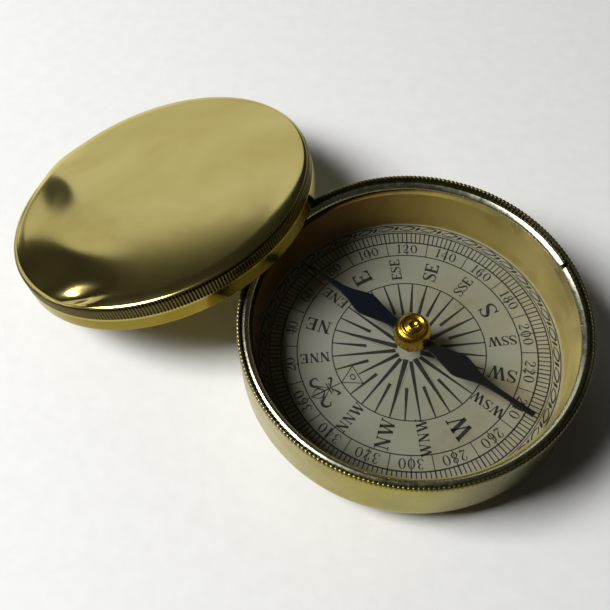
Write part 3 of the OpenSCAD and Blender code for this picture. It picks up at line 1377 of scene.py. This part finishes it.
    def build(self) -> None:
        """Dresses the card and prints the dial on it."""
        dress_node("dial_card", self.paper.make())
        ink = self.ink.make()
        for draw in (self.star, self.letters, self.numbers, self.degrees, self.border, self.lily):
            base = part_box("dial_card")[1].z / MM
            self.sheet = InkPrint(f"dial_{draw.__name__}", self.north_deg, base)
            draw()
            self.sheet.build(ink)


@dataclass
class Glazing:
    """The sleeve inside the wall, the watch glass on it and the split ring that holds the glass."""

    sleeve_wall: float = 1.95
    sleeve_foot: Pair = (0.38, 1.8)
    ring_width: float = 1.4
    ring_gap: float = 0.9
    ring_gap_deg: float = 53.0
    ring_curve: Curve = (
        (0.12, -48.0, 4), (0.62, -36.0, 6), (0.82, 16.0, 6), (1.32, 34.0, 5), (1.4, 80.0, 4)
    )
    glass_bevel: float = 0.12
    satin: SpunBrass = SpunBrass(
        name="satin_brass_sleeve",
        bright="#eeda9a",
        dull="#dac47b",
        stain="#b3924c",
        roughness=0.38,
        dull_roughness=0.5,
        dull_metal=0.45,
        # Painted shade: the sleeve darkens towards the side nearest the light, which the rim keeps in
        # shadow.
        ageing=Ageing(
            side_deg=30.0,
            stops=(
                (0.0, "#9a7e5c"), (0.12, "#94774c"), (0.3, "#ae956a"), (0.48, "#ded0af"),
                (0.82, "#e6e4d2"), (1.0, "#ffffff"),
            ),
        ),
    )
    wire: CleanMetal = CleanMetal("nickel_silver_wire", "#d4d4ba", "#c0c0a4", 0.26)
    pane: CrownGlass = CrownGlass("crown_glass", "#fafcfa")
    grime: PackedGrime = PackedGrime("painted_glass_edge_shade", "#0f0e0a", "#241f15")

    def sleeve(self) -> None:
        """Turns the sleeve, whose foot follows the round corner of the pan."""
        low, high = (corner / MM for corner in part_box("inner_sleeve"))
        bore, (inset, rise) = high.x - self.sleeve_wall, self.sleeve_foot
        foot = [(bore, low.z), (high.x - inset, low.z), (high.x, low.z + rise)]
        mesh = new_mesh("satin_sleeve", revolve([*foot, (high.x, high.z), (bore, high.z)]))
        add_piece(mesh, self.satin.make(), Body.CASE, Slot.SLEEVE, "inner_sleeve")

    def glass(self) -> None:
        """Grinds the pane, and paints shade on its edge."""
        low, high = (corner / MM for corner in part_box("glass"))
        radius, foot, top = high.x, low.z, high.z
        inset, bevel = radius - self.glass_bevel, self.glass_bevel
        edge = [(inset, foot), (radius, foot + bevel), (radius, top - bevel), (inset, top)]
        mesh = spin("watch_pane", plain([(0, foot), *edge, (0, top)]), sharp_deg=30.0)
        add_piece(mesh, self.pane.make(), Body.CASE, Slot.GLASS, "glass")
        # Painted shade: the glass's edge faces get a matt black-brown in place of the shadow under the
        # ring.
        mesh.materials.append(self.grime.make())
        for face in mesh.polygons:
            face.material_index = 0 if abs(face.normal.z) > 0.9 else 1

    def ring(self) -> None:
        """Draws the split ring from flattened wire."""
        low, high = (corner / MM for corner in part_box("retaining_ring"))
        inner, middle = high.x - self.ring_width, high.x - self.ring_width / 2
        curve = [(inner + radius, tilt, steps) for radius, tilt, steps in self.ring_curve]
        rows = flowing_arcs((inner, 0.0, -80.0), curve)
        lift = high.z - max(height for _, height, _ in rows)
        loop = [(inner, low.z), (high.x, low.z)]
        loop += [(radius, height + lift) for radius, height, _ in reversed(rows)]
        gap = math.degrees(math.asin(self.ring_gap / 2 / middle))
        start = self.ring_gap_deg + gap
        mesh = new_mesh("split_ring", revolve(loop, start, start + 360 - 2 * gap))
        add_piece(mesh, self.wire.make(), Body.CASE, Slot.RING, "retaining_ring")

    def build(self) -> None:
        """Builds all three."""
        for make in (self.sleeve, self.glass, self.ring):
            make()


@dataclass
class Needle:
    """The blued needle, with its turned brass cap and the collar that holds it.

    The arms' shares are places along an arm, and widths as shares of the shoulder. The turnings of
    the cap's top are arcs: the centre's radius and its height over the top, the arc's radius, its
    first and last angle and its steps.
    """

    heading_deg: float = 173.4
    arm: float = 24.6
    shoulder: float = 4.5
    tip: float = 0.2
    tail: float = 1.0
    hub: float = 3.0
    shank: float = 1.7
    bevel: float = 0.1
    bore: float = 1.25
    crown: float = 0.6
    step: float = 0.45
    cap_shoulder: Pair = (0.98, 1.8)
    dimple: float = 0.27
    collar_edge: float = 0.2
    shares: tuple[Pair, ...] = (
        (0.075, 0.4), (0.14, 0.4), (0.2, 0.48), (0.3, 0.74), (0.4, 0.98),
        (0.48, 0.74), (0.54, 0.5), (0.61, 0.32), (0.72, 0.2), (0.84, 0.13),
    )
    raised_ring: tuple[float, ...] = (1.97, -0.18, 0.18, -20, 130, 10)
    groove: tuple[float, ...] = (1.52, -0.1, 0.16, -40, -140, 6)
    boss_edge: tuple[float, ...] = (1.08, -0.15, 0.12, 20, 100, 6)
    boss_hollow: tuple[float, ...] = (0.0, 0.85, 1.12, -42, -84, 8)
    brass: CleanMetal = CleanMetal("polished_turned_brass", "#dcb437", "#c79c28", 0.27, 0.9)

    def blade(self) -> None:
        """Cuts the blade: a hub with two leaf-shaped arms, their edges eased."""
        low, high = (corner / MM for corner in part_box("needle_blade"))
        hub = [(self.shank, low.z), (self.hub, low.z), (self.hub, high.z), (self.shank, high.z)]
        arms = [
            self.arm_shape(self.heading_deg + turn, end_width, low.z, high.z)
            for turn, end_width in ((0.0, self.tip), (180.0, self.tail))
        ]
        steel = HeatBluedSteel("heat_blued_steel", "#0c1524", "#232424", 0.4, self.heading_deg)
        mesh = new_mesh("blade", join([revolve(hub), *arms]), sharp_deg=30.0)
        add_piece(mesh, steel.make(), Body.NEEDLE, Slot.NEEDLE, "needle_blade")

    def arm_shape(self, heading_deg: float, end_width: float, foot: float, top: float) -> Shape:
        """Shapes one arm.

        Args:
            heading_deg: the arm's direction.
            end_width: its width at the end.
            foot: the height of its underside.
            top: the height of its top.

        Returns:
            The arm, closed at both ends.
        """
        knots = [(s * self.arm, max(w * self.shoulder, end_width) / 2, 0.0) for s, w in self.shares]
        stations = flow([*knots, (self.arm, end_width / 2, 0.0)], 5)
        (ax, ay), (bx, by) = polar(1.0, heading_deg), polar(1.0, heading_deg + 90)
        points, faces = [], []
        for along, half, _ in stations:
            ease = min(self.bevel, 0.4 * half)
            under = [(-half, foot), (half, foot), (half, top - ease)]
            over = [(half - ease, top), (ease - half, top), (-half, top - ease)]
            points += [(along * ax + side * bx, along * ay + side * by, z) for side, z in under + over]
        for here in range(0, len(points) - 6, 6):
            for i in range(6):
                j = (i + 1) % 6
                faces.append((here + j, here + 6 + j, here + 6 + i, here + i))
        faces += [tuple(reversed(range(6))), tuple(range(len(points) - 6, len(points)))]
        return points, faces

    def cap(self) -> None:
        """Turns the cap: a drum with a round shoulder, a raised ring, a groove and a dimpled boss."""
        low, high = (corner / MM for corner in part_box("needle_cap"))
        radius, top = high.x, high.z
        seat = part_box("needle_blade")[1].z / MM
        wide, tall = self.cap_shoulder
        section = [(0, top - self.crown), (self.bore, top - self.crown), (self.bore, low.z)]
        section += [(self.shank, low.z), (self.shank, seat), (radius, seat)]
        for across, up in arc((0.0, 0.0), 1.0, 0, 87, 16):
            section.append((radius - wide * (1 - across), top - self.step - tall * (1 - up)))
        for across, up, *bend in (self.raised_ring, self.groove, self.boss_edge, self.boss_hollow):
            section += arc((across, top + up), *bend)
        mesh = spin("turned_cap", plain([*section, (0, top - self.dimple)]))
        add_piece(mesh, self.brass.make(), Body.NEEDLE, Slot.POLISHED, "needle_cap")

    def collar(self) -> None:
        """Turns the collar, a flat ring with round edges."""
        low, high = (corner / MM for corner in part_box("needle_collar"))
        edge = self.collar_edge
        loop = arc((high.x - edge, low.z + edge), edge, -90, 0, 5)
        loop += arc((high.x - edge, high.z - edge), edge, 0, 90, 5)
        mesh = new_mesh("turned_collar", revolve([(self.shank, low.z), *loop, (self.shank, high.z)]))
        add_piece(mesh, self.brass.make(), Body.NEEDLE, Slot.POLISHED, "needle_collar")

    def build(self) -> None:
        """Builds all three."""
        for make in (self.blade, self.cap, self.collar):
            make()


@dataclass
class Works:
    """The solids under the dial that keep their shape: pivot, jewel, pillar, seat and plate."""

    turned: CleanMetal = CleanMetal("lathe_turned_brass", "#cfb060", "#b59648", 0.3)
    steel: CleanMetal = CleanMetal("hardened_steel", "#a9aaac", "#8b8c8f", 0.2)
    agate: BandedAgate = BandedAgate("banded_agate", "#5a2a1a", "#a8673f")

    def build(self) -> None:
        """Dresses each of them."""
        brass = self.turned.make()
        for node in ("pivot_pillar", "dial_seat", "dial_plate"):
            dress_node(node, brass)
        dress_node("pivot_pin", self.steel.make())
        dress_node("cap_jewel", self.agate.make())


@dataclass
class SoftLight:
    """A large soft light that stands off the compass. Its sizes are in metres."""

    name: str
    azimuth_deg: float
    elevation_deg: float
    distance: float
    width: float
    height: float
    radiance: float
    outline: Outline = Outline.BOX

    def build(self) -> None:
        """Hangs the light, facing the compass."""
        lamp = bpy.data.lights.new(self.name, "AREA")
        lamp.shape = self.outline.value
        lamp.size, lamp.size_y = self.width, self.height
        lamp.energy = self.radiance * math.pi * self.width * self.height
        thing = add_object(lamp)
        flat, up = polar(1.0, self.elevation_deg)
        way = Vector((*polar(flat, self.azimuth_deg), up))
        thing.location = way * self.distance
        thing.rotation_mode = "QUATERNION"
        thing.rotation_quaternion = way.to_track_quat("Z", "Y")
        LOG.info("light %s", self.name)


@dataclass
class Studio:
    """The board, the lights, the air and the camera. Its sizes are in metres, but for the sensor."""

    distance: float = 0.168164
    azimuth_deg: float = 19.4
    elevation_deg: float = 63.376
    pan_deg: float = 6.952
    tilt_deg: float = 2.463
    roll_deg: float = 10.599
    focal_pixels: float = 904.14
    sensor: float = 36.0
    clip: Pair = (0.01, 20.0)
    board_side: float = 3.0
    board_middle: float = -0.025
    board_drop: float = 0.00002
    air: str = "#2a2822"

    def camera(self) -> None:
        """Sets the camera where the photograph was taken from."""
        flat, height = polar(1.0, self.elevation_deg)
        right = Vector((*polar(1.0, self.azimuth_deg), 0))
        back = Vector((*polar(flat, self.azimuth_deg - 90), height))
        up = back.cross(right)
        place = back * self.distance
        pan = Matrix.Rotation(math.radians(self.pan_deg), 3, up)
        right, back = pan @ right, pan @ back
        tilt = Matrix.Rotation(math.radians(self.tilt_deg), 3, right)
        up, back = tilt @ up, tilt @ back
        roll = Matrix.Rotation(math.radians(self.roll_deg), 3, back)
        right, up = roll @ right, roll @ up
        lens = bpy.data.cameras.new("camera")
        lens.sensor_width = self.sensor
        lens.lens = self.focal_pixels / PHOTO_SIDE * self.sensor
        lens.clip_start, lens.clip_end = self.clip
        thing = add_object(lens)
        turn = Matrix((right, up, back)).transposed().to_4x4()
        thing.matrix_world = Matrix.Translation(place) @ turn
        bpy.context.scene.camera = thing

    def board(self) -> None:
        """Lays the pale board under the compass."""
        side, drop = self.board_side, -self.board_drop
        corners = [(-side, -side), (side, -side), (side, side), (-side, side)]
        mesh = bpy.data.meshes.new("board")
        mesh.from_pydata([(self.board_middle + x, y, drop) for x, y in corners], [], [(0, 1, 2, 3)])
        mesh.materials.append(PaintedBoard("painted_board", "#f1f1ef", "#eaeae7").make())
        add_object(mesh)

    def lights(self) -> None:
        """Hangs the lights and fills the air with a dim even glow."""
        SoftLight("key_softbox", 217, 49, 0.7, 0.27, 0.32, 22.0).build()
        SoftLight("wall_glow", 142, 8, 1.6, 1.36, 1.36, 0.52, Outline.OVAL).build()
        world = bpy.data.worlds.new("air")
        bpy.context.scene.world = world
        world.use_nodes = True
        tree = world.node_tree
        tree.nodes.clear()
        glow = add_node(tree, "Background", {"Color": linear(self.air), "Strength": 1.0})
        add_node(tree, "OutputWorld", links={"Surface": glow["Background"]})

    def build(self) -> None:
        """Sets up the whole studio."""
        bpy.context.scene.view_settings.view_transform = "Standard"
        for make in (self.camera, self.board, self.lights):
            make()


def main() -> None:
    """Builds and dresses every piece, then lights it."""
    logging.basicConfig(level=logging.INFO, format="%(message)s")
    for assembly in (Studio, CasePan, Lid, Dial, Glazing, Needle, Works):
        assembly().build()


if __name__ == "__main__":
    main()
